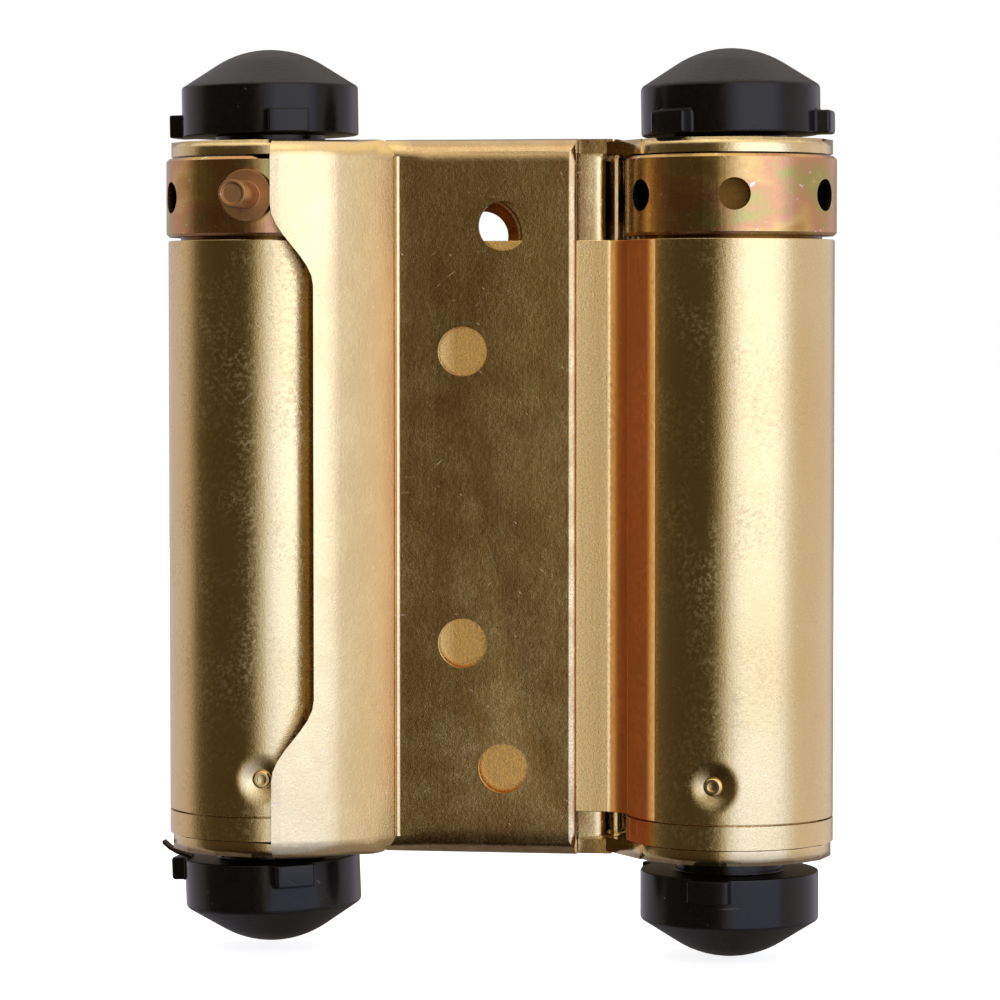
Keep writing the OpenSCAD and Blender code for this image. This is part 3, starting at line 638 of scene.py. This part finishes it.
def passivated(name, tints, rough):
    """Yellow passivated zinc: a film whose colour wanders through gold, pink and green, with white scratches; the
    inside of holes, nearer the axis, is painted dark as shade."""
    mat, tree, bsdf, coords = new_material(name)
    g = place_group(tree, grain, coords, Size=2200.0, Lines=0.5)
    s = place_group(tree, scratches, coords, Density=0.62, Scale=200.0)
    film = mapped_noise(tree, coords, (0.2, 0.1, 0.3), (1, 1, 1.8), 110.0, 3.0, 0.55)
    colour = ramp(tree, film, [(0.3 + 0.45 * i / (len(tints) - 1), t) for i, t in enumerate(tints)])
    colour = mix_colour(tree, math_node(tree, "MULTIPLY", s.outputs["Mask"], 0.75), colour, (0.93, 0.86, 0.78))
    d = place_group(tree, axis_distance, coords)
    # Painted shade: within about 10.3 mm of the axis, inside the holes, the film is painted dark brown.
    inside = ramp(tree, math_node(tree, "MULTIPLY", d.outputs["Distance"], 50.0), [(0.515, 1.0), (0.54, 0.0)])
    colour = mix_colour(tree, inside, colour, (0.14, 0.06, 0.01))
    tree.links.new(colour, bsdf.inputs["Base Color"])
    bsdf.inputs["Metallic"].default_value = 1.0
    tree.links.new(
        math_node(tree, "ADD", math_node(tree, "MULTIPLY", g.outputs["Height"], 0.2), rough), bsdf.inputs["Roughness"]
    )
    b = node(tree, "Bump")
    b.inputs["Distance"].default_value = 0.012 * MM
    tree.links.new(g.outputs["Height"], b.inputs["Height"])
    tree.links.new(b.outputs[0], bsdf.inputs["Normal"])
    return mat


# root is the colour of the painted glow in the web's bends, standing for light bounced between sheet and barrel.
brass = plated(
    "satin brass plating", (0.92, 0.69, 0.32), (0.86, 0.6, 0.24), 0.4, 0.07, 0.017,
    (0.95, 0.83, 0.6), 0.45, size=4000.0, root=(0.85, 0.22, 0.035),
)
plate_brass = plated(
    "scuffed brass plating", (0.94, 0.71, 0.34), (0.86, 0.62, 0.27), 0.5, 0.06, 0.02,
    (0.95, 0.83, 0.6), 0.5, lines=0.1, plate=(0.6, 0.34, 0.13), speckle=0.8, frost=0.1,
)
rivet_brass = plated(
    "bright brass", (0.9, 0.66, 0.3), (0.84, 0.58, 0.24), 0.2, 0.16, 0.008, (0.95, 0.8, 0.5), 0.2, frost=0.0,
)
collar_metal = passivated(
    "yellow passivated steel",
    [(0.56, 0.31, 0.09), (0.7, 0.44, 0.14), (0.64, 0.31, 0.14), (0.46, 0.39, 0.11), (0.72, 0.47, 0.16)], 0.1,
)
pin_metal = passivated("passivated pin", [(0.5, 0.24, 0.08), (0.56, 0.28, 0.1), (0.48, 0.2, 0.07)], 0.26)
wire_steel = plated(
    "oiled spring steel", (0.34, 0.32, 0.3), (0.24, 0.23, 0.22), 0.3, 0.3, 0.01, (0.5, 0.5, 0.5), 0.3, frost=0.0,
)
zinc_steel = plated(
    "yellow zinc plated steel", (0.62, 0.43, 0.18), (0.5, 0.33, 0.12), 0.3, 0.25, 0.01, (0.8, 0.8, 0.8), 0.3, frost=0.0,
)
plastic = moulded("grained black plastic", (0.0028, 0.0025, 0.0022), 0.05, 0.12, 2600.0)

FINISH = {
    "centre_web": (brass, 0.12), "front_flange": (plate_brass, 0.14), "rear_flange": (plate_brass, 0.14),
    "left_collar": (collar_metal, 0.08), "right_collar": (collar_metal, 0.08),
    "left_tension_pin": (pin_metal, 0.12), "right_tension_pin": (pin_metal, 0.12),
    "left_spring": (wire_steel, 0), "right_spring": (wire_steel, 0),
    "left_plug": (brass, 0.1), "right_plug": (brass, 0.1),
    "left_front_rivet": (rivet_brass, 0.1), "left_rear_rivet": (rivet_brass, 0.1),
    "right_front_rivet": (rivet_brass, 0.1), "right_rear_rivet": (rivet_brass, 0.1),
    "left_spindle": (zinc_steel, 0), "right_spindle": (zinc_steel, 0),
    "left_top_cap": (plastic, 0.3), "right_top_cap": (plastic, 0.3),
    "left_bottom_cap": (plastic, 0.3), "right_bottom_cap": (plastic, 0.3),
}


def askew(x, z, tilt):
    """Matrix that tilts a cap by tilt degrees about its seat at (x, z) millimetres."""
    seat = Matrix.Translation((x * MM, AXIS_Y, z * MM))
    return seat @ Matrix.Rotation(math.radians(tilt), 4, "Y") @ seat.inverted()


ASKEW = {
    "left_top_cap": askew(-24.4, 38.0, -0.8), "right_top_cap": askew(24.4, 37.7, -0.8),
    "left_bottom_cap": askew(-24.4, -38.2, -2.2),
}
for name, (mat, edge) in FINISH.items():
    if edge:
        if name == "centre_web":
            piece = rolled_web()
        else:
            piece = dressed_copy(name, edge, rims=0.55 if "flange" in name else 0.0, turn=ASKEW.get(name))
        piece.data.materials.clear()
        piece.data.materials.append(mat)
    else:
        for holder in frame["nodes"][name].material_slots:
            holder.material = mat


def moulding_flap():
    """Thin flap of flash on the rim of the bottom left cap: a bent strip, 0.3 mm thick and 1.6 mm deep."""
    line = np.array([(-35.9, -36.75), (-35.2, -37.35), (-34.4, -37.8), (-32.8, -38.3)])
    pts = [(x, AXIS_Y / MM - 1.2 + y, z + dz) for x, z in line for y in (-0.8, 0.8) for dz in (0.0, -0.3)]
    k = np.arange(3)[:, None] * 4
    faces = np.concatenate([k + f for f in ([0, 2, 6, 4], [1, 5, 7, 3], [0, 4, 5, 1], [2, 3, 7, 6])]).tolist()
    mesh = bpy.data.meshes.new("moulding_flap")
    mesh.from_pydata((np.array(pts) * MM).tolist(), [], faces + [[0, 1, 3, 2], [12, 14, 15, 13]])
    mesh.materials.append(plastic)
    flap = bpy.data.objects.new("moulding_flap", mesh)
    bpy.context.scene.collection.objects.link(flap)
    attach(flap, body_of_node["left_bottom_cap"])


moulding_flap()


# Studio

def build_floor():
    """Round pale floor under the lowest cap: rings of one disc."""
    turns = np.linspace(0, 2 * np.pi, 97)[:-1]
    radii = np.array([0.05, 0.12, 0.3, 0.8])
    ring = np.stack([np.cos(turns), np.sin(turns)], -1)
    pts = np.concatenate([r * ring for r in radii])
    pts = np.column_stack([pts, np.full(len(pts), cad_box[0][2] - 0.0002)])
    n = len(turns)
    i = np.arange(n)
    j = (i + 1) % n
    quads = [np.stack([k * n + i, (k + 1) * n + i, (k + 1) * n + j, k * n + j], -1) for k in range(len(radii) - 1)]
    mesh = bpy.data.meshes.new("floor")
    mesh.from_pydata(pts.tolist(), [], [list(range(n))] + np.concatenate(quads).tolist())
    floor = bpy.data.objects.new("floor", mesh)
    bpy.context.scene.collection.objects.link(floor)
    mat = bpy.data.materials.new("pale floor")
    mat.use_nodes = True
    bsdf = mat.node_tree.nodes["Principled BSDF"]
    bsdf.inputs["Base Color"].default_value = (0.6, 0.6, 0.6, 1)
    bsdf.inputs["Roughness"].default_value = 0.9
    bsdf.inputs["Emission Color"].default_value = (1, 1, 1, 1)
    bsdf.inputs["Emission Strength"].default_value = 0.85
    mesh.materials.append(mat)
    floor.visible_glossy = False


def build_world():
    """White to the camera; elsewhere a ring of brightness by azimuth, in degrees from the front towards the right:
    soft light right, dark left, grey at the sides and darker behind, with a paler top."""
    world = bpy.data.worlds.new("studio")
    world.use_nodes = True
    tree = world.node_tree
    bg = tree.nodes["Background"]
    coords = tree.nodes.new("ShaderNodeTexCoord").outputs["Generated"]
    sep = tree.nodes.new("ShaderNodeSeparateXYZ")
    tree.links.new(coords, sep.inputs[0])
    turn = math_node(tree, "ARCTAN2", sep.outputs[0], math_node(tree, "MULTIPLY", sep.outputs[1], -1.0))
    place = math_node(tree, "ADD", math_node(tree, "MULTIPLY", turn, 0.5 / math.pi), 0.5)
    ring = ramp(tree, place, [(0.5 + d / 360.0, c) for d, c in AROUND])
    lift = ramp(tree, math_node(tree, "ADD", math_node(tree, "MULTIPLY", sep.outputs[2], 0.5), 0.5), [
        (0.0, 0.3), (0.24, 0.5), (0.42, 1.0), (0.6, 1.0), (0.85, 0.7), (1.0, 0.8)])
    both = node(tree, "Mix", data_type="RGBA", blend_type="MULTIPLY")
    both.inputs[0].default_value = 1.0
    tree.links.new(ring, both.inputs[6])
    tree.links.new(lift, both.inputs[7])
    high = ramp(tree, math_node(tree, "ADD", math_node(tree, "MULTIPLY", sep.outputs[2], 0.5), 0.5), [
        (0.68, 0.0), (0.88, 1.0)])
    sky = mix_colour(tree, high, both.outputs[2], TOP)
    seen = tree.nodes.new("ShaderNodeLightPath").outputs["Is Camera Ray"]
    out = mix_colour(tree, seen, sky, (1.0, 1.0, 1.0))
    tree.links.new(out, bg.inputs["Color"])
    bpy.context.scene.world = world


SHADE = (0.062, 0.046, 0.024)
SOFT = (1.0, 1.2, 1.95)
SIDE = (0.72, 0.69, 0.82)
GREY = (0.6, 0.56, 0.66)
REAR = (0.3, 0.26, 0.2)
TOP = (1.0, 0.96, 0.95)
AROUND = [
    (-180, REAR), (-172, REAR), (-152, GREY), (-106, GREY), (-92, (0.5, 0.44, 0.42)), (-82, (0.1, 0.08, 0.05)),
    (-55, SHADE), (-20, SHADE), (-11, (0.066, 0.05, 0.027)), (-5.5, (0.19, 0.15, 0.09)), (2.5, (0.75, 0.7, 0.62)),
    (9.5, SOFT), (71, SOFT), (77, SIDE), (150, SIDE), (172, REAR), (180, REAR),
]


def area_light(name, azimuth, elevation, distance, size, power, tint=(1, 1, 1)):
    """Soft box on a sphere round the hinge, facing it; azimuth runs from the front towards the right."""
    data = bpy.data.lights.new(name, "AREA")
    data.shape = "RECTANGLE"
    data.size, data.size_y = size
    data.energy = power
    data.color = tint
    light = bpy.data.objects.new(name, data)
    a, e = math.radians(azimuth), math.radians(elevation)
    place = Vector((math.sin(a) * math.cos(e), -math.cos(a) * math.cos(e), math.sin(e))) * distance
    light.matrix_world = Matrix.Translation(place) @ (-place).to_track_quat("-Z", "Y").to_matrix().to_4x4()
    bpy.context.scene.collection.objects.link(light)


def build_camera():
    """Camera from the photo's own perspective: distance, turn and height fitted to edges of plates and barrels."""
    distance, azimuth, height, focal = 0.4365, math.radians(8.65), 18.1 * MM, 4153.0
    place = Vector((distance * math.sin(azimuth), AXIS_Y - distance * math.cos(azimuth), height))
    target = Vector((0.12 * MM, AXIS_Y, -0.32 * MM))
    data = bpy.data.cameras.new("camera")
    data.sensor_width = 36.0
    data.lens = focal / 1000.0 * 36.0
    data.clip_start = 0.01
    camera = bpy.data.objects.new("camera", data)
    camera.matrix_world = Matrix.Translation(place) @ (target - place).to_track_quat("-Z", "Y").to_matrix().to_4x4()
    bpy.context.scene.collection.objects.link(camera)
    bpy.context.scene.camera = camera


build_floor()
build_world()
area_light("soft box", 40, 18, 0.8, (0.75, 0.7), 0.9)
area_light("top fill", 10, 75, 0.8, (0.5, 0.5), 0.3)
build_camera()
bpy.context.scene.view_settings.view_transform = "Standard"
